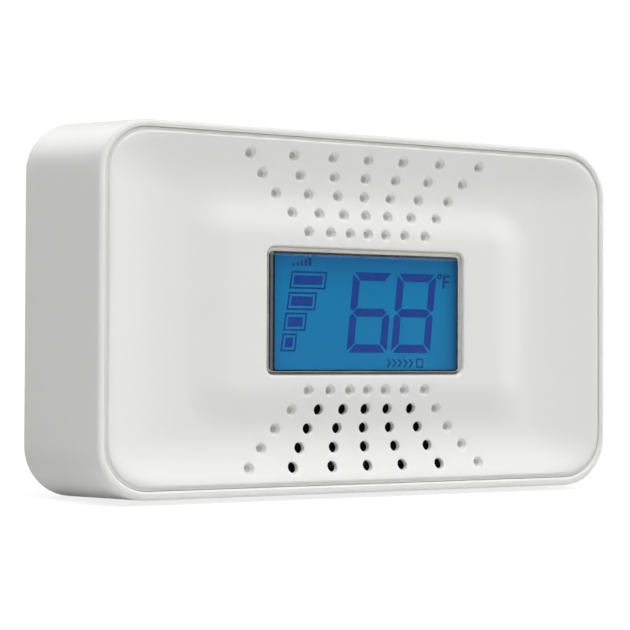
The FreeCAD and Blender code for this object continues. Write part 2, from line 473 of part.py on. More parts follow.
for sx in (-1, 1):
    for sz in (-1, 1):
        x, z = sx * COVER_SCREW[0], sz * COVER_SCREW[1]
        s = revolve_y([(0, 26.0), (0.7, 26.0), (1.34, 27.2), (1.34, COVER_FACE - 1.45), (1.62, COVER_FACE - 1.45), (2.95, COVER_FACE - 0.15), (2.95, COVER_FACE - 0.05), (0, COVER_FACE - 0.05)], x, z)
        s = s.cut([box(x - 1.7, x + 1.7, COVER_FACE - 1.0, COVER_FACE + 1, z - 0.32, z + 0.32), box(x - 0.32, x + 0.32, COVER_FACE - 1.0, COVER_FACE + 1, z - 1.7, z + 1.7)])
        screws.append(s)
save("cover_screws", *screws)

# ------------------------------------------------------------------ power slider in the rear cover, and the switch it moves
slider = [box(SWITCH_X - 6.6, SWITCH_X + 6.6, 34.0, COVER_IN - 0.15, SWITCH_Z - 4.6, SWITCH_Z + 4.6),
          box(SWITCH_X - 3.0, SWITCH_X + 3.0, 35.0, COVER_FACE - 0.3, SWITCH_Z - 2.4, SWITCH_Z + 2.4),
          box(SWITCH_X - 3.1, SWITCH_X - 1.75, 18.6, 34.1, SWITCH_Z - 1.6, SWITCH_Z + 1.6),
          box(SWITCH_X + 1.75, SWITCH_X + 3.1, 18.6, 34.1, SWITCH_Z - 1.6, SWITCH_Z + 1.6),
          box(SWITCH_X - 3.0, SWITCH_X + 3.0, 29.0, 34.1, SWITCH_Z - 0.6, SWITCH_Z + 0.6)]
slider = union(slider).cut([box(SWITCH_X + 1.6 * i - 0.3, SWITCH_X + 1.6 * i + 0.3, COVER_FACE - 0.75, 40.0, SWITCH_Z - 3, SWITCH_Z + 3) for i in (-1, 0, 1)])
save("power_slider", slider)
swb = box(SWITCH_X + 2 - 6.5, SWITCH_X + 2 + 6.5, PCB_REAR, 16.6, SWITCH_Z - 3.4, SWITCH_Z + 3.4)
swb = swb.cut([box(SWITCH_X - 1.8, SWITCH_X + SWITCH_TRAVEL + 1.8, 13.9, 18.0, SWITCH_Z - 1.5, SWITCH_Z + 1.5)])
save("power_switch_body", swb)
save("power_switch_knob", box(SWITCH_X - 1.55, SWITCH_X + 1.55, 14.1, 21.0, SWITCH_Z - 1.35, SWITCH_Z + 1.35))
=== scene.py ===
import json
import math

import bmesh
import bpy
import numpy as np
from mathutils import Matrix, Vector
from mathutils.geometry import delaunay_2d_cdt


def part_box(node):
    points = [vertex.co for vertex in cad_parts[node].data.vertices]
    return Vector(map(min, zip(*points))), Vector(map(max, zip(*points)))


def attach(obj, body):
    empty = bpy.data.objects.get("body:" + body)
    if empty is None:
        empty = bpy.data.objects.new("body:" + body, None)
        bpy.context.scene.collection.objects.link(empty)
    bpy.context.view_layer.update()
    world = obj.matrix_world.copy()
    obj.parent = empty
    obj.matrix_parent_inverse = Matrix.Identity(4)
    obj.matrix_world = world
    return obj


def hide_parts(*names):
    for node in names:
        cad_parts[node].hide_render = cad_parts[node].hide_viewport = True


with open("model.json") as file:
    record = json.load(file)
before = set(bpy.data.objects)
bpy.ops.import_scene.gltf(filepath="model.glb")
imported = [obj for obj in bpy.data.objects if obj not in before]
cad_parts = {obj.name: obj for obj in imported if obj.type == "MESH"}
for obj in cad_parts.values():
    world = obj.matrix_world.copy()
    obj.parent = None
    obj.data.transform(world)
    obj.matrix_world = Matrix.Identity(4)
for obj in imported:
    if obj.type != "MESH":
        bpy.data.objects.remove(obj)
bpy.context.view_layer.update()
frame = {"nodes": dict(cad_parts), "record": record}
nodes = frame["nodes"]

# ------------------------------------------------------------------ the case's own coordinates
# (x, d, z) in millimetres: x and z from the centre of the front face, d behind the front edge of the case.
lo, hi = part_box("housing_shell")
Y_FRONT = round(lo.y * 1000, 2)
Z_MID = round(lo.z * 1000, 1) + 42.6
MOAT_D, PLATEAU_H, ROLL, EDGE_D, PANEL_T = 3.75, 1.92, 0.45, 0.12, 2.45
PX, PZ, PR = 66.35, 38.7, 9.7           # the panel's face, inside the groove
FX, FZ, FR = 67.07, 39.42, 10.42        # the panel's flange, at the bottom of the groove
GROOVE_D = 0.75
HOLE_T = 1.45
THIN = ((-14.0, -20.7), (14.0, -20.7), (23.2, -36.8), (-23.2, -36.8))   # thinned area behind the open holes
HOLE_R = 1.25
HOLE_ROWS = [17.95 + 4.345 * k for k in range(5)]
HOLE_FAN = [0.0, 0.270, -0.270, 0.564, -0.564, 0.884, -0.884]
WINDOW = (26.8, 14.6, 2.0)
WINDOW_IN = (25.8, 13.5, 1.0)
LEDGE_FRONT, LEDGE_REAR = 2.62, 3.90


def P(x, d, z):
    return ((x) / 1000, (d + Y_FRONT) / 1000, (z + Z_MID) / 1000)


def panel_depth(x, z):
    x, z = abs(x), abs(z)
    p, q = max(0.0, x - 48.0) / (PX - 48.0), max(0.0, z - 26.8) / (PZ - 26.8)
    r = min(1.25, (p ** 2.75 + q ** 2.75) ** (1 / 2.75))
    slope = (MOAT_D - EDGE_D) * (1 - r ** 1.9)
    dish = EDGE_D + math.hypot(slope, ROLL) - ROLL
    s = min(1.0, math.hypot(max(0.0, x - 35.0) / 12.5, max(0.0, z - 16.5) / 10.3))
    return dish - PLATEAU_H * (1 - s * s * (3 - 2 * s))


# ------------------------------------------------------------------ camera, at the viewing angle
CAM_POS = Vector((-0.24045, (Y_FRONT - 377.89) / 1000, (Z_MID - 10.51) / 1000))
AZ, EL, ROLL_CAM = -0.537471, -0.0220164, 0.00391815


def camera():
    back = Vector((math.sin(AZ) * math.cos(EL), -math.cos(AZ) * math.cos(EL), math.sin(EL)))
    fwd = -back
    right = fwd.cross(Vector((0, 0, 1))).normalized()
    up = right.cross(fwd)
    c, s = math.cos(ROLL_CAM), math.sin(ROLL_CAM)
    r, u = c * right + s * up, -s * right + c * up
    data = bpy.data.cameras.new("camera")
    data.sensor_width = 36.0
    data.lens = 111.082
    data.clip_start, data.clip_end = 0.01, 50.0
    cam = bpy.data.objects.new("camera", data)
    bpy.context.scene.collection.objects.link(cam)
    cam.matrix_world = Matrix(((r.x, u.x, back.x, CAM_POS.x), (r.y, u.y, back.y, CAM_POS.y), (r.z, u.z, back.z, CAM_POS.z), (0, 0, 0, 1)))
    bpy.context.scene.camera = cam
    return cam


camera()


# ------------------------------------------------------------------ node material helpers
class Mat:
    """A Principled material with a few short-hands for procedural nodes. Lengths are in metres of object space."""

    def __init__(self, name, rough=0.4, metallic=0.0, **sockets):
        self.m = bpy.data.materials.new(name)
        self.m.use_nodes = True
        self.t = self.m.node_tree
        self.t.nodes.clear()
        self.out = self.t.nodes.new("ShaderNodeOutputMaterial")
        self.b = self.t.nodes.new("ShaderNodeBsdfPrincipled")
        self.t.links.new(self.b.outputs[0], self.out.inputs[0])
        self.b.inputs["Roughness"].default_value = rough
        self.b.inputs["Metallic"].default_value = metallic
        for k, v in sockets.items():
            self.b.inputs[k.replace("_", " ")].default_value = v
        self.tc = self.t.nodes.new("ShaderNodeTexCoord")
        self.co = self.tc.outputs["Object"]

    def link(self, a, b):
        self.t.links.new(a, b)
        return b

    def put(self, sock, v):
        if isinstance(v, bpy.types.NodeSocket):
            self.t.links.new(v, sock)
        else:
            sock.default_value = v

    def mapped(self, scale=(1, 1, 1), rot=(0, 0, 0), loc=(0, 0, 0), vec=None):
        n = self.t.nodes.new("ShaderNodeMapping")
        self.link(vec or self.co, n.inputs[0])
        n.inputs["Scale"].default_value = scale
        n.inputs["Rotation"].default_value = rot
        n.inputs["Location"].default_value = loc
        return n.outputs[0]

    def noise(self, scale, detail=3.0, rough=0.55, vec=None, distortion=0.0):
        n = self.t.nodes.new("ShaderNodeTexNoise")
        self.link(vec or self.co, n.inputs["Vector"])
        n.inputs["Scale"].default_value = scale
        n.inputs["Detail"].default_value = detail
        n.inputs["Roughness"].default_value = rough
        n.inputs["Distortion"].default_value = distortion
        return n.outputs["Fac"]

    def voronoi(self, scale, feature="F1", vec=None, out="Distance", randomness=1.0):
        n = self.t.nodes.new("ShaderNodeTexVoronoi")
        n.feature = feature
        self.link(vec or self.co, n.inputs["Vector"])
        n.inputs["Scale"].default_value = scale
        n.inputs["Randomness"].default_value = randomness
        return n.outputs[out]

    def wave(self, scale, vec=None, bands="X", profile="SIN", distortion=0.0, detail=0.0, rings=False):
        n = self.t.nodes.new("ShaderNodeTexWave")
        n.wave_type = "RINGS" if rings else "BANDS"
        if rings:
            n.rings_direction = bands
        else:
            n.bands_direction = bands
        n.wave_profile = profile
        self.link(vec or self.co, n.inputs["Vector"])
        n.inputs["Scale"].default_value = scale
        n.inputs["Distortion"].default_value = distortion
        n.inputs["Detail"].default_value = detail
        return n.outputs["Fac"]

    def axis(self, which, vec=None):
        n = self.t.nodes.new("ShaderNodeSeparateXYZ")
        self.link(vec or self.co, n.inputs[0])
        return n.outputs["XYZ".index(which)]

    def math(self, op, a, b=None, clamp=False):
        n = self.t.nodes.new("ShaderNodeMath")
        n.operation = op
        n.use_clamp = clamp
        self.put(n.inputs[0], a)
        if b is not None:
            self.put(n.inputs[1], b)
        return n.outputs[0]

    def span(self, v, a, b, c=0.0, d=1.0, smooth=False):
        n = self.t.nodes.new("ShaderNodeMapRange")
        n.interpolation_type = "SMOOTHSTEP" if smooth else "LINEAR"
        n.clamp = True
        self.put(n.inputs["Value"], v)
        for k, x in (("From Min", a), ("From Max", b), ("To Min", c), ("To Max", d)):
            n.inputs[k].default_value = x
        return n.outputs[0]

    def ramp(self, fac, stops, mode="LINEAR"):
        n = self.t.nodes.new("ShaderNodeValToRGB")
        n.color_ramp.interpolation = mode
        e = n.color_ramp.elements
        while len(e) > 1:
            e.remove(e[-1])
        e[0].position, e[0].color = stops[0][0], (*stops[0][1][:3], 1)
        for p, c in stops[1:]:
            x = e.new(p)
            x.color = (*c[:3], 1)
        self.link(fac, n.inputs[0])
        return n.outputs[0]

    def mix(self, fac, a, b, blend="MIX"):
        n = self.t.nodes.new("ShaderNodeMix")
        n.data_type = "RGBA"
        n.blend_type = blend
        self.put(n.inputs["Factor"], fac)
        for s, v in ((6, a), (7, b)):
            if isinstance(v, bpy.types.NodeSocket):
                self.t.links.new(v, n.inputs[s])
            else:
                n.inputs[s].default_value = (*v[:3], 1)
        return n.outputs[2]

    def bump(self, height, distance, strength=1.0, normal=None):
        n = self.t.nodes.new("ShaderNodeBump")
        n.inputs["Strength"].default_value = strength
        n.inputs["Distance"].default_value = distance
        self.link(height, n.inputs["Height"])
        if normal is not None:
            self.link(normal, n.inputs["Normal"])
        return n.outputs[0]

    def color(self, v):
        self.put(self.b.inputs["Base Color"], v if isinstance(v, bpy.types.NodeSocket) else (*v[:3], 1))
        return self

    def set(self, name, v):
        self.put(self.b.inputs[name], v)
        return self


def srgb(r, g, b):
    return tuple(x / 255 / 12.92 if x / 255 <= 0.04045 else ((x / 255 + 0.055) / 1.055) ** 2.4 for x in (r, g, b))


def tint(c, k):
    return tuple(min(1.0, x * k) for x in c)


def plastic(name, base, rough=0.42, grain=0.10, depth=0.004, sheen_var=0.05, mottling=0.025, sss=0.0):
    """Moulded plastic: fine eroded grain, a faint flow mottle in the colour, and roughness that varies with both."""
    m = Mat(name, rough=rough)
    flow = m.noise(28.0, 4.0, 0.6, distortion=0.4)
    fine = m.noise(1000.0 / grain, 2.0, 0.6)
    broad = m.noise(340.0, 3.0, 0.5)
    m.color(m.ramp(m.math("ADD", m.math("MULTIPLY", flow, 0.7), m.math("MULTIPLY", broad, 0.3)),
                   [(0.30, tint(base, 1 - mottling)), (0.52, base), (0.72, tint(base, 1 + mottling * 0.6))]))
    m.set("Roughness", m.span(m.math("ADD", m.math("MULTIPLY", fine, 0.5), m.math("MULTIPLY", broad, 0.5)), 0.3, 0.7, rough - sheen_var, rough + sheen_var))
    height = m.math("ADD", fine, m.math("MULTIPLY", m.noise(1000.0 / (grain * 3.5), 1.0, 0.5), 0.8))
    m.set("Normal", m.bump(height, depth / 1000, 0.6))
    if sss:
        m.b.inputs["Subsurface Weight"].default_value = sss
        m.b.inputs["Subsurface Radius"].default_value = (0.0018, 0.0014, 0.0011)
        m.b.inputs["Subsurface Scale"].default_value = 1.0
    return m.m


def metal(name, base, rough=0.28, streak=(40, 40, 900), tarnish=0.12, depth=0.002, metallic=1.0):
    """Plated or drawn metal: stretched streaks, a little tarnish, uneven gloss."""
    m = Mat(name, rough=rough, metallic=metallic)
    s = m.noise(1.0, 4.0, 0.7, vec=m.mapped(scale=streak))
    blot = m.noise(260.0, 4.0, 0.6)
    m.color(m.ramp(m.math("ADD", m.math("MULTIPLY", s, 0.45), m.math("MULTIPLY", blot, 0.55)),
                   [(0.30, tint(base, 1 - tarnish)), (0.55, base), (0.75, tint(base, 1 + tarnish * 0.5))]))
    m.set("Roughness", m.span(m.math("ADD", m.math("MULTIPLY", s, 0.6), m.math("MULTIPLY", blot, 0.4)), 0.3, 0.7, rough * 0.7, rough * 1.35))
    m.set("Normal", m.bump(s, depth / 1000, 0.5))
    return m.m


WHITE = srgb(232, 232, 229)
M = {}
M["white_case"] = plastic("white_case_plastic", WHITE, rough=0.40, grain=0.11, depth=0.0035, sheen_var=0.05, mottling=0.012, sss=0.0)
# painted shade: a darker, rougher copy of the case plastic for the blind dimples' floors
M["recess"] = plastic("recess_painted_shade_plastic", srgb(212, 212, 207), rough=0.6, grain=0.14, depth=0.006, mottling=0.04)
M["white_button"] = plastic("white_button_plastic", tint(WHITE, 0.985), rough=0.36, grain=0.10, depth=0.003, mottling=0.014)
M["white_moulding"] = plastic("white_inner_moulding", srgb(226, 226, 221), rough=0.48, grain=0.2, depth=0.006, mottling=0.03)
M["black_moulding"] = plastic("black_inner_moulding", srgb(34, 34, 35), rough=0.5, grain=0.22, depth=0.008, mottling=0.18)
M["black_package"] = plastic("moulded_epoxy", srgb(30, 30, 32), rough=0.62, grain=0.08, depth=0.008, mottling=0.2)
M["grey_slider"] = plastic("grey_slider_plastic", srgb(112, 113, 115), rough=0.5, grain=0.13, depth=0.006, mottling=0.05)
M["tinned_metal"] = metal("tinned_metal", (0.70, 0.70, 0.68), rough=0.30)
M["bright_can"] = metal("bright_can", (0.74, 0.74, 0.75), rough=0.22, streak=(900, 40, 40))
M["zinc_screw"] = metal("zinc_plated_screw", (0.62, 0.62, 0.63), rough=0.33, streak=(300, 30, 300), tarnish=0.2)
M["piezo_ceramic"] = metal("silvered_ceramic", (0.78, 0.77, 0.73), rough=0.45, streak=(500, 500, 500), tarnish=0.1, metallic=0.55)


def make_small_materials():
    # brass with lathe rings about the horn's axis
    m = Mat("rolled_brass", rough=0.24, metallic=1.0)
    rings = m.wave(900.0, vec=m.mapped(loc=(0.014, 0, -0.0225)), rings=True, bands="Y", distortion=0.6, detail=2.0)
    blot = m.noise(220.0, 4.0, 0.6)
    m.color(m.ramp(blot, [(0.3, (0.62, 0.44, 0.16)), (0.55, (0.76, 0.58, 0.25)), (0.8, (0.83, 0.67, 0.34))]))
    m.set("Roughness", m.span(m.math("ADD", m.math("MULTIPLY", rings, 0.5), m.math("MULTIPLY", blot, 0.5)), 0.2, 0.8, 0.18, 0.36))
    m.set("Normal", m.bump(rings, 0.000004, 0.4))
    M["brass_disc"] = m.m
    # foam tape
    m = Mat("grey_foam_tape", rough=0.7)
    cells = m.voronoi(7000.0)
    pale = m.ramp(m.math("ADD", m.math("MULTIPLY", cells, 0.4), m.math("MULTIPLY", m.noise(400.0), 0.6)),
                  [(0.25, srgb(120, 116, 104)), (0.6, srgb(166, 161, 146)), (0.9, srgb(176, 172, 158))])
    # painted shade: darker along the bottom, under the window's lower bevel
    low = m.span(m.axis("Z"), P(0, 0, -13.45)[2], P(0, 0, -13.65)[2])
    m.color(m.mix(low, pale, m.ramp(cells, [(0.2, srgb(58, 58, 55)), (0.8, srgb(84, 83, 79))])))
    m.set("Normal", m.bump(cells, 0.00003, 0.5))
    # painted light: the pale tape is given an emission glow, strongest along the top, weaker along the right and faint
    # along the left, standing in for light that the lip shades off
    top = m.span(m.axis("Z"), P(0, 0, 12.8)[2], P(0, 0, 13.5)[2])
    side = m.math("MULTIPLY", m.span(m.axis("X"), 0.0252, 0.0259), 0.35)
    left = m.math("MULTIPLY", m.span(m.axis("X"), -0.0257, -0.0259), 0.12)
    painted_light_mask = m.math("MAXIMUM", m.math("MAXIMUM", top, side), left)
    m.set("Emission Color", m.mix(painted_light_mask, (0.02, 0.02, 0.02), (0.36, 0.335, 0.295)))
    m.set("Emission Strength", m.span(cells, 0.0, 0.6, 0.85, 1.0))
    M["grey_adhesive"] = m.m
    # felt
    m = Mat("filter_felt", rough=0.95)
    f = m.noise(2600.0, 5.0, 0.75, distortion=1.2)
    m.color(m.ramp(f, [(0.3, srgb(176, 173, 160)), (0.5, srgb(208, 205, 193)), (0.75, srgb(228, 226, 216))]))
    m.b.inputs["Sheen Weight"].default_value = 0.3
    m.set("Normal", m.bump(f, 0.00012, 0.8))
    M["filter_felt"] = m.m
    # woven screen
    m = Mat("woven_screen", rough=0.55)
    w1, w2 = m.wave(1500.0, bands="X", profile="SIN"), m.wave(1500.0, bands="Z", profile="SIN")
    weave = m.math("MAXIMUM", w1, w2)
    m.color(m.ramp(m.math("ADD", m.math("MULTIPLY", weave, 0.6), m.math("MULTIPLY", m.noise(900.0), 0.4)),
                   [(0.2, srgb(12, 12, 13)), (0.8, srgb(40, 40, 42))]))
    m.set("Normal", m.bump(weave, 0.00005, 0.8))
    M["black_screen"] = m.m
    # reflector and diffuser film
    m = Mat("white_film", rough=0.55)
    f = m.noise(6000.0, 2.0, 0.5)
    m.color(m.ramp(m.noise(150.0), [(0.3, srgb(232, 234, 236)), (0.7, srgb(246, 247, 248))]))
    m.set("Roughness", m.span(f, 0.3, 0.7, 0.45, 0.65))
    m.set("Normal", m.bump(f, 0.000003, 0.5))
    M["white_film"] = m.m
    # light guide: clear acrylic with a printed dot grid
    m = Mat("acrylic_light_guide", rough=0.08, IOR=1.49)
    v = m.voronoi(850.0, randomness=0.0)
    dots = m.span(v, 0.22, 0.30, 1.0, 0.0)
    m.color(m.mix(dots, srgb(205, 224, 240), srgb(245, 248, 250)))
    m.b.inputs["Transmission Weight"].default_value = 0.55
    m.set("Roughness", m.span(m.math("ADD", dots, m.math("MULTIPLY", m.noise(500.0), 0.1)), 0.0, 1.0, 0.06, 0.5))
    M["acrylic_guide"] = m.m
    # encapsulated lamp
    m = Mat("blue_lamp_epoxy", rough=0.2)
    m.color(m.ramp(m.noise(900.0), [(0.3, srgb(150, 186, 232)), (0.7, srgb(196, 218, 246))]))
    m.set("Roughness", m.span(m.noise(1500.0), 0.3, 0.7, 0.14, 0.3))
    M["blue_lamp"] = m.m
    # ferrite
    m = Mat("ferrite", rough=0.66)
    f = m.noise(3500.0, 4.0, 0.7)
    m.color(m.ramp(f, [(0.3, srgb(40, 40, 43)), (0.7, srgb(74, 74, 78))]))
    m.set("Roughness", m.span(f, 0.3, 0.7, 0.55, 0.75))
    m.set("Normal", m.bump(f, 0.00002, 0.6))
    M["ferrite"] = m.m
    # enamelled winding, turns stacked along Y
    m = Mat("enamelled_winding", rough=0.3, metallic=0.85)
    turns = m.wave(450.0, bands="Y", profile="SIN", distortion=0.15)
    m.color(m.mix(turns, srgb(96, 44, 22), srgb(190, 104, 58)))
    m.set("Roughness", m.span(m.noise(900.0), 0.3, 0.7, 0.2, 0.42))
    m.set("Normal", m.bump(turns, 0.00012, 0.9))
    M["copper_wire"] = m.m
    # ceramic chip bodies
    m = Mat("fired_ceramic", rough=0.5)
    f = m.noise(5000.0, 3.0, 0.6)
    m.color(m.ramp(m.noise(130.0, 1.0), [(0.38, srgb(34, 34, 36)), (0.46, srgb(122, 98, 70)), (0.56, srgb(150, 124, 92)), (0.66, srgb(40, 40, 43))], "CONSTANT"))
    m.set("Roughness", m.span(f, 0.3, 0.7, 0.4, 0.6))
    m.set("Normal", m.bump(f, 0.000008, 0.5))
    M["chip_body"] = m.m
    # capacitor sleeve with its lighter stripe on one side
    m = Mat("capacitor_sleeve", rough=0.33)
    x = m.axis("X")
    n = m.noise(900.0, 3.0)
    side = m.math("GREATER_THAN", m.math("ADD", m.math("SINE", m.math("MULTIPLY", m.math("ADD", x, 0.0345), 628.0)), m.math("MULTIPLY", n, 0.05)), 0.82)
    m.color(m.mix(side, m.ramp(n, [(0.3, srgb(22, 28, 46)), (0.7, srgb(32, 40, 62))]), srgb(150, 156, 168)))
    m.set("Roughness", m.span(n, 0.3, 0.7, 0.26, 0.42))
    m.set("Normal", m.bump(m.noise(1500.0), 0.000012, 0.4))
    M["capacitor_can"] = m.m
    # lithium cell sleeve with a plain band
    m = Mat("cell_sleeve", rough=0.3)
    n = m.noise(700.0, 3.0)
    along = m.math("ABSOLUTE", m.math("SUBTRACT", m.math("ABSOLUTE", m.axis("X")), 0.0172))
    band = m.math("LESS_THAN", along, 0.0045)
    m.color(m.mix(band, m.ramp(n, [(0.3, srgb(46, 62, 108)), (0.7, srgb(60, 80, 132))]), m.ramp(n, [(0.3, srgb(196, 199, 204)), (0.7, srgb(216, 218, 222))])))
    m.set("Roughness", m.span(n, 0.3, 0.7, 0.24, 0.4))
    m.set("Normal", m.bump(m.noise(220.0, 2.0), 0.00004, 0.35))
    M["cell_wrap"] = m.m
    # blank plate: label stock with a faint fibre and a thin printed border
    m = Mat("plain_plate_stock", rough=0.6)
    n = m.noise(1800.0, 4.0, 0.7, vec=m.mapped(scale=(1, 1, 0.35)))
    bx = m.math("ABSOLUTE", m.math("ADD", m.axis("X"), 0.022))
    bz = m.math("ABSOLUTE", m.math("SUBTRACT", m.axis("Z"), 0.0385))
    inside = m.math("MINIMUM", m.math("SUBTRACT", 0.0240, bx), m.math("SUBTRACT", 0.0080, bz))
    line = m.math("MULTIPLY", m.math("GREATER_THAN", inside, 0.0), m.math("LESS_THAN", inside, 0.00028))
    m.color(m.mix(line, m.ramp(n, [(0.3, srgb(206, 206, 203)), (0.7, srgb(219, 219, 216))]), srgb(120, 121, 124)))
    m.set("Roughness", m.span(n, 0.3, 0.7, 0.5, 0.7))
    m.set("Normal", m.bump(n, 0.00001, 0.4))
    M["plain_plate"] = m.m
    # display glass and film
    m = Mat("display_glass_sheet", rough=0.05, IOR=1.52)
    m.color(m.ramp(m.noise(90.0), [(0.3, srgb(206, 222, 226)), (0.7, srgb(218, 232, 234))]))
    m.b.inputs["Transmission Weight"].default_value = 0.7
    m.set("Roughness", m.span(m.noise(600.0), 0.3, 0.7, 0.03, 0.09))
    M["display_glass"] = m.m
    m = Mat("dark_polarizing_film", rough=0.22)
    n = m.noise(240.0, 3.0)
    m.color(m.ramp(n, [(0.3, srgb(16, 30, 44)), (0.7, srgb(22, 40, 56))]))
    m.set("Roughness", m.span(n, 0.3, 0.7, 0.16, 0.3))
    M["display_film"] = m.m


def make_board():
    """Solder mask over copper: traces in three directions, tinned pads, a fine weave under the mask."""
    m = Mat("board_laminate", rough=0.3)
    warp = m.noise(60.0, 2.0)
    region = m.voronoi(95.0, out="Color", vec=m.mapped(scale=(1, 0, 1)))
    pick = m.axis("X", vec=region)
    tx = m.wave(210.0, bands="X", profile="SAW", vec=m.mapped(rot=(0, 0, 0)))
    tz = m.wave(210.0, bands="Z", profile="SAW")
    td = m.wave(210.0, bands="DIAGONAL", profile="SAW")
    line_x, line_z, line_d = m.span(tx, 0.55, 0.62, smooth=True), m.span(tz, 0.55, 0.62, smooth=True), m.span(td, 0.55, 0.62, smooth=True)
    use_x = m.math("LESS_THAN", pick, 0.34)
    use_z = m.math("MULTIPLY", m.math("GREATER_THAN", pick, 0.34), m.math("LESS_THAN", pick, 0.62))
    use_d = m.math("MULTIPLY", m.math("GREATER_THAN", pick, 0.62), m.math("LESS_THAN", pick, 0.8))
    trace = m.math("ADD", m.math("ADD", m.math("MULTIPLY", line_x, use_x), m.math("MULTIPLY", line_z, use_z)), m.math("MULTIPLY", line_d, use_d), clamp=True)
    pads = m.span(m.voronoi(240.0, vec=m.mapped(scale=(1, 0, 1)), randomness=0.75), 0.16, 0.20, 1.0, 0.0)
    keep = m.math("GREATER_THAN", m.axis("Y", vec=m.voronoi(240.0, out="Color", vec=m.mapped(scale=(1, 0, 1)), randomness=0.75)), 0.72)
    pads = m.math("MULTIPLY", pads, keep)
    weave = m.math("MULTIPLY", m.wave(520.0, bands="X"), m.wave(520.0, bands="Z"))
    base = m.ramp(m.math("ADD", m.math("MULTIPLY", weave, 0.3), m.math("MULTIPLY", warp, 0.7)), [(0.25, srgb(10, 66, 34)), (0.7, srgb(16, 84, 44))])
    green = m.mix(trace, base, srgb(30, 116, 62))
    m.color(m.mix(pads, green, srgb(206, 204, 196)))
    m.set("Metallic", pads)
    m.set("Roughness", m.span(m.noise(500.0), 0.3, 0.7, 0.24, 0.38))
    m.set("Normal", m.bump(m.math("ADD", trace, pads), 0.00004, 0.5, normal=m.bump(weave, 0.000006, 0.4)))
    M["board_green"] = m.m


make_small_materials()
make_board()


# ------------------------------------------------------------------ mesh helpers
def make_object(name, bm, smooth_deg=None, mats=()):
    me = bpy.data.meshes.new(name)
    bm.normal_update()
    bm.to_mesh(me)
    bm.free()
    ob = bpy.data.objects.new(name, me)
    bpy.context.scene.collection.objects.link(ob)
    for m in mats:
        me.materials.append(m)
    if smooth_deg is not None:
        me.polygons.foreach_set("use_smooth", [True] * len(me.polygons))
        me.set_sharp_from_angle(angle=math.radians(smooth_deg))
    return ob


def rrect(hw, hh, r, n_arc=10, nx=40, nz=24):
    """A rounded rectangle as a loop of points, anticlockwise, always with the same number of points."""
    pts = []
    for cx, cz, a0, run, steps in ((hw - r, hh - r, 0, (-2 * (hw - r), 0), nx), (-hw + r, hh - r, 90, (0, -2 * (hh - r)), nz),
                                   (-hw + r, -hh + r, 180, (2 * (hw - r), 0), nx), (hw - r, -hh + r, 270, (0, 2 * (hh - r)), nz)):
        for i in range(n_arc + 1):
            a = math.radians(a0 + 90 * i / n_arc)
            pts.append((cx + r * math.cos(a), cz + r * math.sin(a)))
        ex, ez = pts[-1]
        for i in range(1, steps):
            pts.append((ex + run[0] * i / steps, ez + run[1] * i / steps))
    return pts


def circle(cx, cz, r, n=32):
    return [(cx + r * math.cos(2 * math.pi * i / n), cz + r * math.sin(2 * math.pi * i / n)) for i in range(n)]


def add_loop(bm, pts, depth):
    """Adds a loop of vertices. depth is a number or a function of (x, z)."""
    return [bm.verts.new(P(x, depth(x, z) if callable(depth) else depth, z)) for x, z in pts]


def stitch(bm, a, b, flip=False):
    n = len(a)
    for i in range(n):
        j = (i + 1) % n
        q = (a[i], a[j], b[j], b[i])
        bm.faces.new(q[::-1] if flip else q)


def inside_poly(pts, x, z):
    c = False
    n = len(pts)
    for i in range(n):
        x1, z1 = pts[i]
        x2, z2 = pts[(i + 1) % n]
        if (z1 > z) != (z2 > z) and x < (x2 - x1) * (z - z1) / (z2 - z1) + x1:
            c = not c
    return c


def fill(bm, outer, holes, extra, depth, flip=False):
    """Triangulates the area between the outer loop and the holes. Loops are (points, vertices); extra are free points."""
    coords, verts, edges = [], [], []
    for pts, vs in [outer] + holes:
        s = len(coords)
        coords += [Vector(p) for p in pts]
        verts += vs
        edges += [(s + i, s + (i + 1) % len(pts)) for i in range(len(pts))]
    for x, z in extra:
        coords.append(Vector((x, z)))
        verts.append(bm.verts.new(P(x, depth(x, z) if callable(depth) else depth, z)))
    co, _, faces, ids, _, _ = delaunay_2d_cdt(coords, edges, [], 0, 1e-7, True)
    back = []
    for k in range(len(co)):
        src = ids[k]
        if not src:
            raise RuntimeError("the triangulation made a point of its own")
        back.append(verts[src[0]])
    hole_boxes = []
    for pts, _ in holes:
        a = np.array(pts)
        hole_boxes.append((a.min(0), a.max(0), pts))
    made = 0
    for f in faces:
        x = sum(co[i].x for i in f) / len(f)
        z = sum(co[i].y for i in f) / len(f)
        if not inside_poly(outer[0], x, z):
            continue
        if any(b0[0] <= x <= b1[0] and b0[1] <= z <= b1[1] and inside_poly(pts, x, z) for b0, b1, pts in hole_boxes):
            continue
        v = [back[i] for i in f]
        if len(set(v)) < 3:
            continue
        bm.faces.new(v if flip else v[::-1])
        made += 1
    return made


def near_loops(loops, gap):
    """A test for points too close to any loop's own points."""
    pts = np.concatenate([np.array(p) for p in loops])
    cell = {}
    for x, z in pts:
        cell.setdefault((int(x // gap), int(z // gap)), []).append((x, z))

    def close(x, z):
        i, j = int(x // gap), int(z // gap)
        return any((x - a) ** 2 + (z - b) ** 2 < gap * gap for u in (i - 1, i, i + 1) for v in (j - 1, j, j + 1) for a, b in cell.get((u, v), ()))
    return close


def stagger(hx, hz, step):
    rows = int(2 * hz / (step * 0.866)) + 1
    for j in range(rows + 1):
        z = -hz + 2 * hz * j / rows
        n = int(2 * hx / step)
        off = 0.5 * (j % 2)
        for i in range(n + 1):
            yield -hx + 2 * hx * (i + off) / n, z


# ------------------------------------------------------------------ front panel
def fillet(steps):
    return [math.radians(90 * i / steps) for i in range(steps + 1)]


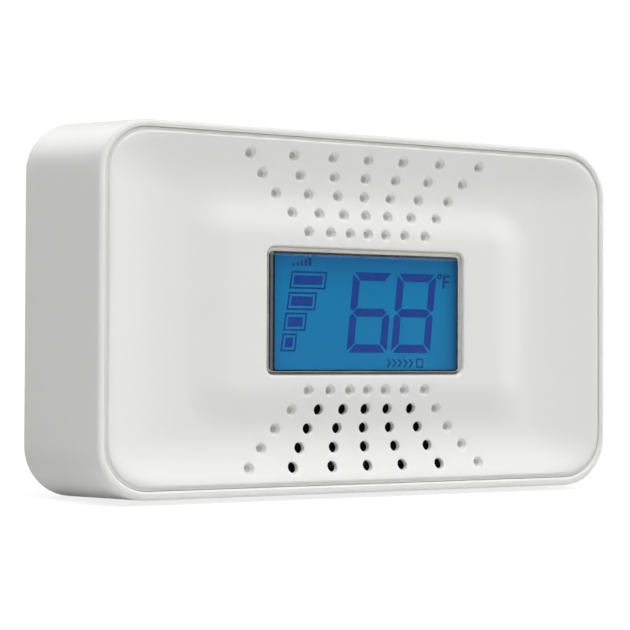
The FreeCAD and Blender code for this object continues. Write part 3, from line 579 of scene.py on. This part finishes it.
def build_panel():
    bm = bmesh.new()
    edge_r, lip_r, hole_r = 0.55, 0.45, 0.28
    # rolled outer edge, then the groove's soft bottom, then the flange's own edge
    loops, pts0 = [], None
    for a in fillet(6):
        inset = edge_r * (1 - math.sin(a))
        pts = rrect(PX - inset, PZ - inset, PR - inset, 18, 120, 72)
        pts0 = pts0 or pts
        drop = edge_r * (1 - math.cos(a))
        loops.append(add_loop(bm, pts, lambda x, z, k=drop: panel_depth(x, z) * (1 - k / edge_r) + EDGE_D * k / edge_r + k))
    outer = (pts0, loops[0])
    floor_r = GROOVE_D - EDGE_D - edge_r
    for a in fillet(3)[1:]:
        out = floor_r * (1 - math.cos(a))
        loops.append(add_loop(bm, rrect(PX + out, PZ + out, PR + out, 18, 120, 72), EDGE_D + edge_r + floor_r * math.sin(a)))
    for a in fillet(3):
        inset = 0.12 * (1 - math.sin(a))
        loops.append(add_loop(bm, rrect(FX - inset, FZ - inset, FR - inset, 18, 120, 72), GROOVE_D + 0.12 * (1 - math.cos(a))))
    pts = rrect(FX, FZ, FR, 18, 120, 72)
    loops.append(add_loop(bm, pts, 2.6))
    loops.append(add_loop(bm, pts, 6.95))
    pts_in = rrect(PX - 1.6, PZ - 1.6, PR - 1.6, 18, 120, 72)
    loops.append(add_loop(bm, pts_in, 6.95))
    loops.append(add_loop(bm, pts_in, lambda x, z: panel_depth(x, z) + PANEL_T))
    for a, b in zip(loops, loops[1:]):
        stitch(bm, a, b)
    rear_outer = (pts_in, loops[-1])
    # window: lip, wall, ledge, opening, rear recess
    loops, w0 = [], None
    for a in fillet(5):
        out = lip_r * (1 - math.sin(a))
        pts = rrect(WINDOW[0] + out, WINDOW[1] + out, WINDOW[2] + out, 8, 56, 32)
        w0 = w0 or pts
        drop = lip_r * (1 - math.cos(a))
        loops.append(add_loop(bm, pts, lambda x, z, k=drop: panel_depth(x, z) + k))
    window = (w0, loops[0])
    pts = rrect(*WINDOW, 8, 56, 32)
    loops.append(add_loop(bm, pts, LEDGE_FRONT))
    pts = rrect(*WINDOW_IN, 8, 56, 32)
    loops.append(add_loop(bm, pts, LEDGE_FRONT))
    loops.append(add_loop(bm, pts, LEDGE_REAR))
    pts = rrect(27.3, 15.8, 0.4, 8, 56, 32)
    loops.append(add_loop(bm, pts, LEDGE_REAR))
    loops.append(add_loop(bm, pts, lambda x, z: panel_depth(x, z) + PANEL_T))
    for a, b in zip(loops, loops[1:]):
        stitch(bm, a, b, flip=True)
    rear_window = (pts, loops[-1])
    # holes
    front_holes, rear_holes, rings, floors = [], [], [], []
    for k, zr in enumerate(HOLE_ROWS):
        for sz in (-1, 1):
            for f in HOLE_FAN:
                x0, z0 = zr * f, sz * zr
                is_open = sz < 0 and k >= 1 and abs(f) < 0.6
                c = panel_depth(x0, z0)
                loops, h0 = [], None
                for a in fillet(4):
                    pts = circle(x0, z0, HOLE_R + hole_r * (1 - math.sin(a)))
                    h0 = h0 or pts
                    loops.append(add_loop(bm, pts, lambda x, z, d=hole_r * (1 - math.cos(a)): panel_depth(x, z) + d))
                front_holes.append((h0, loops[0]))
                rings += [circle(x0, z0, 1.85, 20), circle(x0, z0, 2.35, 20)]
                if is_open:
                    pts = circle(x0, z0, HOLE_R)
                    loops.append(add_loop(bm, pts, lambda x, z: panel_depth(x, z) + HOLE_T))
                    rear_holes.append((pts, loops[-1]))
                else:
                    for r, d, k in ((1.20, 0.44, 0.9), (1.00, 0.80, 0.7), (0.80, 1.15, 0.45), (0.60, 1.50, 0.2), (0.34, 1.65, 0.1)):
                        loops.append(add_loop(bm, circle(x0, z0, r), lambda x, z, d=d, k=k: c + k * (panel_depth(x, z) - c) + d))
                    tip = bm.verts.new(P(x0, c + 1.76, z0))
                first_new = len(bm.faces)
                for a, b in zip(loops, loops[1:]):
                    stitch(bm, a, b, flip=True)
                if not is_open:
                    last = loops[-1]
                    for i in range(len(last)):
                        bm.faces.new((last[i], tip, last[(i + 1) % len(last)]))
                    floors.append(tip)
    # front skin
    close = near_loops([outer[0], window[0]] + [h[0] for h in front_holes], 0.62)
    centres = [(zr * f, sz * zr) for zr in HOLE_ROWS for sz in (-1, 1) for f in HOLE_FAN]
    extra = []
    ring_pts = [q for ring in rings for q in ring]
    # the rings round neighbouring holes may meet: keep each point only where its own hole is the nearest
    order = []
    for k, zr in enumerate(HOLE_ROWS):
        for sz in (-1, 1):
            for f in HOLE_FAN:
                order.append((zr * f, sz * zr))
    for (cx, cz), pair in zip(order, zip(rings[0::2], rings[1::2])):
        for ring, rad in zip(pair, (1.85, 2.35)):
            for x, z in ring:
                if all((x - a) ** 2 + (z - b) ** 2 > (rad + 0.25) ** 2 for a, b in order if (a, b) != (cx, cz) and abs(a - cx) < 6 and abs(b - cz) < 6):
                    if inside_poly(outer[0], x, z) and not inside_poly(window[0], x, z) and not close(x, z):
                        extra.append((x, z))
    near_ring = near_loops([extra], 0.6)
    win_in = (WINDOW[0] + lip_r, WINDOW[1] + lip_r)
    for x, z in stagger(PX, PZ, 1.0):
        if abs(x) < win_in[0] and abs(z) < win_in[1]:
            continue
        if close(x, z) or near_ring(x, z) or not inside_poly(outer[0], x, z):
            continue
        if any((x - a) ** 2 + (z - b) ** 2 < 2.7 ** 2 for a, b in centres):
            continue
        extra.append((x, z))
    fill(bm, outer, [window] + front_holes, extra, panel_depth, flip=True)
    # rear skin, with the thinned area behind the open holes
    edge = []
    for (x1, z1), (x2, z2) in zip(THIN, THIN[1:] + THIN[:1]):
        run = math.hypot(x2 - x1, z2 - z1)
        n = max(2, int(run / 1.5))
        # each side bows outwards by a few hundredths, so that no three points lie on one line
        ox, oz = (z1 - z2) / run, (x2 - x1) / run
        edge += [(x1 + (x2 - x1) * i / n + ox * 0.04 * math.sin(math.pi * i / n), z1 + (z2 - z1) * i / n + oz * 0.04 * math.sin(math.pi * i / n)) for i in range(n)]
    thick, thin = [add_loop(bm, edge, lambda x, z, t=t: panel_depth(x, z) + t) for t in (PANEL_T, HOLE_T)]
    stitch(bm, thick, thin)
    close = near_loops([rear_outer[0], rear_window[0], edge], 1.2)
    extra = [(x, z) for x, z in stagger(PX - 1.6, PZ - 1.6, 2.6)
             if not (abs(x) < 27.9 and abs(z) < 16.4) and inside_poly(rear_outer[0], x, z) and not close(x, z)
             and not inside_poly(edge, x, z)]
    fill(bm, rear_outer, [rear_window, (edge, thick)], extra, lambda x, z: panel_depth(x, z) + PANEL_T)
    fill(bm, (edge, thin), rear_holes, [], lambda x, z: panel_depth(x, z) + HOLE_T)
    bmesh.ops.recalc_face_normals(bm, faces=bm.faces)
    # the blind dimples' floors get a rougher plastic than the polished front, and a darker one: the darker colour is
    # painted shade
    for tip in floors:
        for f in tip.link_faces:
            f.material_index = 1
        for f in {g for f in tip.link_faces for e in f.edges for g in e.link_faces}:
            f.material_index = 1
            for g in {h for e in f.edges for h in e.link_faces}:
                g.material_index = 1
    bad = sum(1 for e in bm.edges if not e.is_manifold)
    print("panel", len(bm.verts), "verts", len(bm.faces), "faces", "open edges", bad)
    ob = make_object("front_panel", bm, 32, [M["white_case"], M["recess"]])
    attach(ob, "case")
    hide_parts("front_fascia")
    return ob


panel = build_panel()


# ------------------------------------------------------------------ display window: clear, with a shallow polished bevel
def build_window():
    m = Mat("clear_window", rough=0.02, IOR=1.49)
    m.b.inputs["Transmission Weight"].default_value = 1.0
    haze = m.noise(120.0, 3.0)
    m.color(m.ramp(haze, [(0.3, (0.965, 0.975, 0.98)), (0.7, (0.985, 0.99, 0.99))]))
    m.set("Roughness", m.span(m.noise(900.0, 3.0), 0.35, 0.75, 0.008, 0.03))
    clear = m.t.nodes.new("ShaderNodeBsdfTransparent")
    clear.inputs[0].default_value = (0.9, 0.92, 0.92, 1)
    path = m.t.nodes.new("ShaderNodeLightPath")
    both = m.t.nodes.new("ShaderNodeMixShader")
    m.link(path.outputs["Is Shadow Ray"], both.inputs[0])
    m.link(m.b.outputs[0], both.inputs[1])
    m.link(clear.outputs[0], both.inputs[2])
    m.link(both.outputs[0], m.out.inputs[0])
    M["clear_lens"] = m.m
    bm = bmesh.new()
    hw, hh, r = 26.6, 14.4, 1.8
    prof = [(2.05, 1.75), (1.9, 1.752), (1.7, 1.765), (1.1, 1.90), (0.5, 2.05), (0.2, 2.13), (0.08, 2.18), (0.0, 2.27), (0.0, 2.44), (0.04, 2.48), (0.4, 2.48)]
    loops = []
    for inset, d in prof:
        ri = max(0.25, r - inset)
        loops.append(add_loop(bm, rrect(hw - inset, hh - inset, ri, 8, 24, 14), d))
    for a, b in zip(loops, loops[1:]):
        stitch(bm, a, b)
    bm.faces.new(loops[0])
    bm.faces.new(loops[-1][::-1])
    bmesh.ops.recalc_face_normals(bm, faces=bm.faces)
    ob = make_object("display_window", bm, 40, [m.m])
    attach(ob, "case")
    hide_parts("display_lens")
    return ob


build_window()


# ------------------------------------------------------------------ lit display
FACE_D = 2.64
ACTIVE = (-24.35, 25.35, -13.14, 12.95)      # x0, x1, z0, z1 of the lit area


def slab(bm, pts, d0, d1):
    """A thin closed prism over a polygon."""
    a = [bm.verts.new(P(x, d0, z)) for x, z in pts]
    b = [bm.verts.new(P(x, d1, z)) for x, z in pts]
    n = len(pts)
    for i in range(n):
        j = (i + 1) % n
        bm.faces.new((a[i], a[j], b[j], b[i]))
    bm.faces.new(a[::-1])
    bm.faces.new(b)


def frame_slab(bm, outer, inner, d0, d1):
    """A thin closed ring between two polygons with the same number of points."""
    n = len(outer)
    o0, i0 = [[bm.verts.new(P(x, d0, z)) for x, z in p] for p in (outer, inner)]
    o1, i1 = [[bm.verts.new(P(x, d1, z)) for x, z in p] for p in (outer, inner)]
    for i in range(n):
        j = (i + 1) % n
        bm.faces.new((o0[i], o0[j], i0[j], i0[i]))
        bm.faces.new((o1[i], i1[i], i1[j], o1[j]))
        bm.faces.new((o0[i], o1[i], o1[j], o0[j]))
        bm.faces.new((i0[i], i0[j], i1[j], i1[i]))


def lit_material():
    m = Mat("lit_display", rough=0.16)
    x, z = m.axis("X"), m.axis("Z")
    # brightness falls off towards the top and the right, and is greenest in the middle
    up = m.span(z, P(0, 0, 2.0)[2], P(0, 0, 13.0)[2], 0.0, 1.0)
    up = m.math("POWER", up, 2.2)
    right = m.math("POWER", m.span(x, 0.010, 0.0253, 0.0, 1.0), 8.0)
    left = m.math("POWER", m.span(x, -0.018, -0.0246, 0.0, 1.0), 3.0)
    low = m.math("POWER", m.span(z, P(0, 0, -3.0)[2], P(0, 0, -13.4)[2], 0.0, 1.0), 1.5)
    mid = m.noise(26.0, 1.0, 0.4)
    c = m.mix(m.math("MULTIPLY", mid, 0.5), srgb(14, 118, 168), srgb(18, 124, 176))
    c = m.mix(m.math("MULTIPLY", low, 0.7), c, srgb(22, 112, 166))
    c = m.mix(m.math("MULTIPLY", up, 0.85), c, srgb(20, 78, 128))
    c = m.mix(m.math("MULTIPLY", right, 0.95), c, srgb(2, 50, 88))
    c = m.mix(m.math("MULTIPLY", left, 0.45), c, srgb(14, 70, 118))
    grain = m.noise(4000.0, 2.0)
    m.color(m.mix(0.5, (0.002, 0.008, 0.02), m.mix(grain, (0.004, 0.014, 0.03), (0.006, 0.02, 0.04))))
    m.set("Emission Color", c)
    m.b.inputs["Emission Strength"].default_value = 1.0
    m.b.inputs["Specular IOR Level"].default_value = 0.25
    m.set("Roughness", m.span(grain, 0.3, 0.7, 0.12, 0.2))
    return m.m


def ink_material(name, centre, edge):
    m = Mat(name, rough=0.2)
    n = m.noise(300.0, 2.0)
    z = m.span(m.axis("Z"), P(0, 0, -10)[2], P(0, 0, 12)[2])
    c = m.mix(m.math("ADD", m.math("MULTIPLY", z, 0.6), m.math("MULTIPLY", n, 0.3)), centre, edge)
    m.color(m.ramp(n, [(0.3, (0.003, 0.006, 0.02)), (0.7, (0.005, 0.009, 0.028))]))
    m.set("Emission Color", c)
    m.b.inputs["Emission Strength"].default_value = 1.0
    m.set("Roughness", m.span(n, 0.3, 0.7, 0.14, 0.24))
    return m.m


def build_display():
    lit = lit_material()
    mask = Mat("display_mask", rough=0.3)
    n = mask.noise(800.0)
    mask.color(mask.ramp(n, [(0.3, (0.001, 0.001, 0.0015)), (0.7, (0.003, 0.003, 0.004))]))
    mask.set("Roughness", mask.span(n, 0.3, 0.7, 0.24, 0.36))
    mask.b.inputs["Specular IOR Level"].default_value = 0.1
    # painted reflection: an emissive paler stripe down the left border of the mask
    x = mask.axis("X")
    stripe = mask.math("MULTIPLY", mask.span(x, -0.0256, -0.0252), mask.span(x, -0.0246, -0.0249))
    mask.set("Emission Color", mask.mix(mask.math("MULTIPLY", stripe, mask.span(n, 0.3, 0.7, 0.8, 1.0)), (0.0, 0.0, 0.0), (0.125, 0.135, 0.14)))
    mask.b.inputs["Emission Strength"].default_value = 1.0
    # the film: lit area in the middle, black border round it, one closed sheet
    bm = bmesh.new()
    x0, x1, z0, z1 = ACTIVE
    outer = rrect(25.74, 13.44, 0.7, 3, 6, 4)
    hw, hh, cx, cz = (x1 - x0) / 2, (z1 - z0) / 2, (x0 + x1) / 2, (z0 + z1) / 2
    inner = [(x + cx, z + cz) for x, z in rrect(hw, hh, 0.35, 3, 6, 4)]
    o0, i0, o1 = add_loop(bm, outer, FACE_D), add_loop(bm, inner, FACE_D), add_loop(bm, outer, 2.80)
    stitch(bm, i0, o0)
    stitch(bm, o0, o1)
    lit_face = bm.faces.new(i0)
    bm.faces.new(o1[::-1])
    bmesh.ops.recalc_face_normals(bm, faces=bm.faces)
    for f in bm.faces:
        f.material_index = 1
    lit_face.material_index = 0
    ob = make_object("display_film_lit", bm, None, [lit, mask.m])
    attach(ob, "case")
    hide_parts("lcd_front_polarizer")

    # characters: seven-segment digits, level bars, degree sign, pictograms, all thin closed shapes just in front of the film
    seg, line = bmesh.new(), bmesh.new()
    D0, D1 = 2.612, 2.632
    tan = 0.1000

    def lean(pts, x_at, z_at=0.0):
        return [(x_at + x + tan * (z - z_at), z) for x, z in pts]

    H, W, T, G = 9.3, 10.95, 1.95, 0.16      # half height, width, stroke, half gap

    def digit(x0, on):
        w, t, g = W, T, G
        a = {"a": [(t * 0.0 + g + 0.35, H), (w - g - 0.35, H), (w - t - g, H - t), (t + g, H - t)],
             "d": [(g + 0.35, -H), (t + g, -H + t), (w - t - g, -H + t), (w - g - 0.35, -H)],
             "g": [(1.0 + g - 0.3, 0), (t + g - 0.1, t / 2), (w - t - g + 0.1, t / 2), (w - 1.0 - g + 0.3, 0), (w - t - g + 0.1, -t / 2), (t + g - 0.1, -t / 2)],
             "f": [(0, H - g - 0.35), (t, H - t - g), (t, t / 2 + g + 0.1), (0.75, g + 0.12), (0, g + 0.62)],
             "b": [(w, H - g - 0.35), (w, g + 0.62), (w - 0.75, g + 0.12), (w - t, t / 2 + g + 0.1), (w - t, H - t - g)],
             "e": [(0, -H + g + 0.35), (0, -g - 0.62), (0.75, -g - 0.12), (t, -t / 2 - g - 0.1), (t, -H + t + g)],
             "c": [(w, -H + g + 0.35), (w - t, -H + t + g), (w - t, -t / 2 - g - 0.1), (w - 0.75, -g - 0.12), (w, -g - 0.62)]}
        for k in on:
            slab(seg, lean(a[k], x0), D0, D1)

    digit(-4.48, "afgedc")
    digit(7.70, "abcdefg")

    # four level bars: an outline and a filled block in each
    for z0, z1, xl, xr in ((5.10, 9.15, -20.35, -10.85), (0.27, 4.40, -21.08, -13.50), (-4.45, -0.30, -21.92, -16.12), (-9.12, -5.00, -22.62, -18.72)):
        zm = (z0 + z1) / 2
        t = 0.44

        def para(k):
            return [(xl + k + 0.155 * (z0 + k - zm), z0 + k), (xr - k + 0.125 * (z0 + k - zm), z0 + k),
                    (xr - k + 0.125 * (z1 - k - zm), z1 - k), (xl + k + 0.155 * (z1 - k - zm), z1 - k)]
        frame_slab(line, para(0.0), para(t), D0, D1)
        slab(seg, para(0.96), D0, D1)

    # degree sign and unit
    ring_o = circle(20.45, 8.85, 0.72, 20)
    ring_i = circle(20.45, 8.85, 0.30, 20)
    frame_slab(line, ring_o, ring_i, D0, D1)
    slab(line, lean([(21.35, 9.25), (23.35, 9.25), (23.35, 8.62), (22.02, 8.62), (22.02, 7.92), (23.1, 7.92), (23.1, 7.32), (22.02, 7.32), (22.02, 5.95), (21.35, 5.95)], -0.75), D0, D1)

    # pictogram at the top left: five rising steps
    for i in range(5):
        x = -19.9 + 1.08 * i
        slab(line, [(x, 10.35), (x + 0.72, 10.35), (x + 0.72, 10.85 + 0.36 * i), (x, 10.85 + 0.36 * i)], D0, D1)
    # pictogram at the bottom right: chevrons pointing to a doorway
    for i in range(5):
        x = 5.5 + 1.55 * i
        slab(line, [(x, -12.6), (x + 0.55, -12.6), (x + 1.35, -11.65), (x + 0.55, -10.7), (x, -10.7), (x + 0.8, -11.65)], D0, D1)
    door_o = [(13.9, -12.7), (15.9, -12.7), (15.9, -10.6), (13.9, -10.6)]
    door_i = [(14.25, -12.45), (15.55, -12.45), (15.55, -10.9), (14.25, -10.9)]
    frame_slab(line, door_o, door_i, D0, D1)

    for bmx, name, mat in ((seg, "display_segments", ink_material("display_segment_ink", srgb(12, 56, 138), srgb(16, 54, 130))),
                           (line, "display_fine_marks", ink_material("display_mark_ink", srgb(4, 58, 122), srgb(6, 52, 108)))):
        bmesh.ops.recalc_face_normals(bmx, faces=bmx.faces)
        ob = make_object(name, bmx, None, [mat])
        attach(ob, "case")


build_display()

# ------------------------------------------------------------------ insect screen: woven wires in a thin border
def build_screen():
    bm = bmesh.new()
    x0, x1, z0, z1, mid, r, pitch = -24.8, 24.8, -36.7, -20.8, 6.55, 0.085, 0.62
    frame_slab(bm, [(x0, z0), (x1, z0), (x1, z1), (x0, z1)], [(x0 + 0.8, z0 + 0.8), (x1 - 0.8, z0 + 0.8), (x1 - 0.8, z1 - 0.8), (x0 + 0.8, z1 - 0.8)], 6.36, 6.74)

    def wire(fixed, along_x, start, stop, phase):
        n = int(round((stop - start) / pitch))
        rings = []
        for i in range(n + 1):
            s = start + (stop - start) * i / n
            d = mid + 0.085 * (1 if (i + phase) % 2 else -1)
            ring = []
            for k in range(4):
                a = math.pi / 4 + math.pi / 2 * k
                u, v = r * 1.4 * math.cos(a), r * math.sin(a)
                x, z = (s, fixed + u) if along_x else (fixed + u, s)
                ring.append(bm.verts.new(P(x, d + v, z)))
            rings.append(ring)
        for a, b in zip(rings, rings[1:]):
            stitch(bm, a, b)
        bm.faces.new(rings[0])
        bm.faces.new(rings[-1][::-1])

    nx, nz = int(round((x1 - x0 - 1.0) / pitch)), int(round((z1 - z0 - 1.0) / pitch))
    for j in range(1, nz):
        wire(z0 + 0.5 + (z1 - z0 - 1.0) * j / nz, True, x0 + 0.5, x1 - 0.5, j)
    for i in range(1, nx):
        wire(x0 + 0.5 + (x1 - x0 - 1.0) * i / nx, False, z0 + 0.5, z1 - 0.5, i + 1)
    bmesh.ops.recalc_face_normals(bm, faces=bm.faces)
    ob = make_object("insect_mesh", bm, 40, [M["black_screen"]])
    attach(ob, "case")
    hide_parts("insect_screen")


build_screen()

# ------------------------------------------------------------------ materials on the carried-over CAD nodes
SLOTS = {row["node"]: row["material_slot"] for row in frame["record"]["subparts"]}
for name, ob in nodes.items():
    ob.data.materials.clear()
    ob.data.materials.append(M[SLOTS[name]])
    for p in ob.data.polygons:
        p.material_index = 0


# ------------------------------------------------------------------ stage and light
def stage():
    # a white table. The camera also sees it lit from below, so that hardly any shadow is left under the case
    m = Mat("stage_table", rough=0.85)
    n = m.noise(3.0, 3.0)
    m.color(m.ramp(n, [(0.3, (0.84, 0.84, 0.84)), (0.7, (0.87, 0.87, 0.87))]))
    m.b.inputs["Specular IOR Level"].default_value = 0.0
    lit = m.t.nodes.new("ShaderNodeBsdfPrincipled")
    m.link(m.ramp(n, [(0.3, (0.24, 0.24, 0.24)), (0.7, (0.26, 0.26, 0.26))]), lit.inputs["Base Color"])
    lit.inputs["Roughness"].default_value = 0.85
    lit.inputs["Specular IOR Level"].default_value = 0.0
    lit.inputs["Emission Color"].default_value = (1, 1, 1, 1)
    lit.inputs["Emission Strength"].default_value = 0.82
    seen = m.t.nodes.new("ShaderNodeLightPath")
    both = m.t.nodes.new("ShaderNodeMixShader")
    m.link(seen.outputs["Is Camera Ray"], both.inputs[0])
    m.link(m.b.outputs[0], both.inputs[1])
    m.link(lit.outputs[0], both.inputs[2])
    m.link(both.outputs[0], m.out.inputs[0])
    bm = bmesh.new()
    s = 6.0
    vs = [bm.verts.new(v) for v in ((-s, -s, 0), (s, -s, 0), (s, s, 0), (-s, s, 0))]
    bm.faces.new(vs)
    ob = make_object("stage_floor", bm, None, [m.m])
    ob.visible_glossy = False


def soft_sun(name, az, el, power, spread=50):
    """A broad, distant soft light. az runs from the front (-Y) towards +X, el is the height above the floor."""
    d = bpy.data.lights.new(name, "SUN")
    d.angle = math.radians(spread)
    d.energy = power
    ob = bpy.data.objects.new(name, d)
    bpy.context.scene.collection.objects.link(ob)
    a, e = math.radians(az), math.radians(el)
    v = Vector((math.sin(a) * math.cos(e), -math.cos(a) * math.cos(e), math.sin(e)))
    ob.rotation_mode = "QUATERNION"
    ob.rotation_quaternion = v.to_track_quat("Z", "Y")
    return ob


def lights():
    soft_sun("front_high", 0, 62, 1.765)
    soft_sun("front", 0, 35, 0.197)
    soft_sun("right", 60, 40, 0.449)
    soft_sun("right_low", 80, 15, 0.908)
    soft_sun("left_high", -70, 60, 0.60)
    soft_sun("back_top", -165, 45, 1.027)
    w = bpy.data.worlds.new("studio")
    bpy.context.scene.world = w
    w.use_nodes = True
    t = w.node_tree
    t.nodes.clear()
    out = t.nodes.new("ShaderNodeOutputWorld")
    bg = t.nodes.new("ShaderNodeBackground")
    bg.inputs[0].default_value = (1, 1, 1, 1)
    way = t.nodes.new("ShaderNodeTexCoord")
    dot = t.nodes.new("ShaderNodeVectorMath")
    dot.operation = "DOT_PRODUCT"
    t.links.new(way.outputs["Generated"], dot.inputs[0])
    dot.inputs[1].default_value = (0.515, -0.857, 0.0)
    size = t.nodes.new("ShaderNodeMath")
    size.operation = "ABSOLUTE"
    t.links.new(dot.outputs["Value"], size.inputs[0])
    level = t.nodes.new("ShaderNodeMapRange")
    level.interpolation_type = "SMOOTHSTEP"
    for k, v in (("From Min", 0.78), ("From Max", 0.965), ("To Min", 0.5), ("To Max", 0.05)):
        level.inputs[k].default_value = v
    t.links.new(size.outputs[0], level.inputs["Value"])
    t.links.new(level.outputs[0], bg.inputs[1])
    seen = t.nodes.new("ShaderNodeBackground")
    seen.inputs[0].default_value = (1, 1, 1, 1)
    seen.inputs[1].default_value = 1.05
    lp = t.nodes.new("ShaderNodeLightPath")
    mix = t.nodes.new("ShaderNodeMixShader")
    t.links.new(lp.outputs["Is Camera Ray"], mix.inputs[0])
    t.links.new(bg.outputs[0], mix.inputs[1])
    t.links.new(seen.outputs[0], mix.inputs[2])
    t.links.new(mix.outputs[0], out.inputs[0])
    w.cycles_visibility.diffuse = False
    bpy.context.scene.view_settings.view_transform = "Standard"
    bpy.context.scene.view_settings.look = "None"


stage()
lights()
